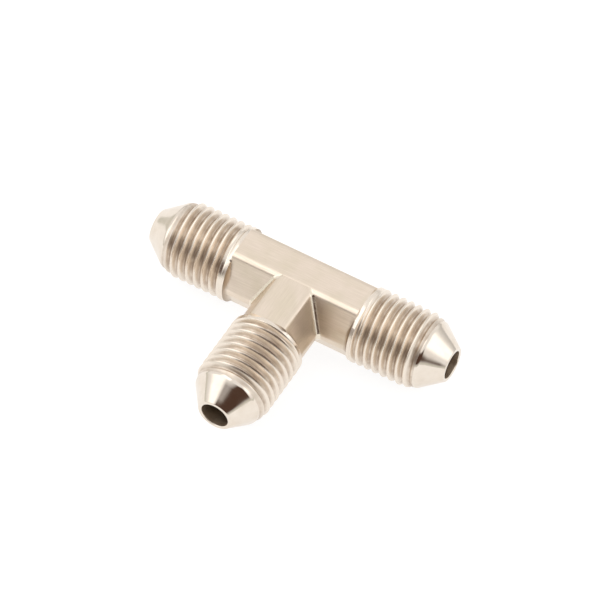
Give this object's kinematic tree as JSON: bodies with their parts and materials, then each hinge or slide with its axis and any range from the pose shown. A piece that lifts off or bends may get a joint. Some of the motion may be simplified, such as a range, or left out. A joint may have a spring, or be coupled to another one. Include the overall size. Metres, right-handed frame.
{
  "type": "flare fitting",
  "caption": "Union tee with three male threaded ends and flared-tube cone seats, joined in a milled body by brazing.",
  "frame": {"origin": "crossing of the run axis and the branch axis, at mid-height of the body", "axes": "+X along the run, -Y along the branch towards its tip, +Z out of the top flat"},
  "size_m": [0.04, 0.0252, 0.0096],
  "materials": {
    "plated_bar": "steel with a warm nickel plate: milled and satin on the body, turned on the threads, polished on the cones",
    "braze_filler": "silver braze filler under the same nickel plate, smooth"
  },
  "bodies": {
    "root": {"run_bar": "plated_bar", "branch_bar": "plated_bar", "braze_ring": "braze_filler", "braze_fillet": "braze_filler"}
  },
  "joints": []
}
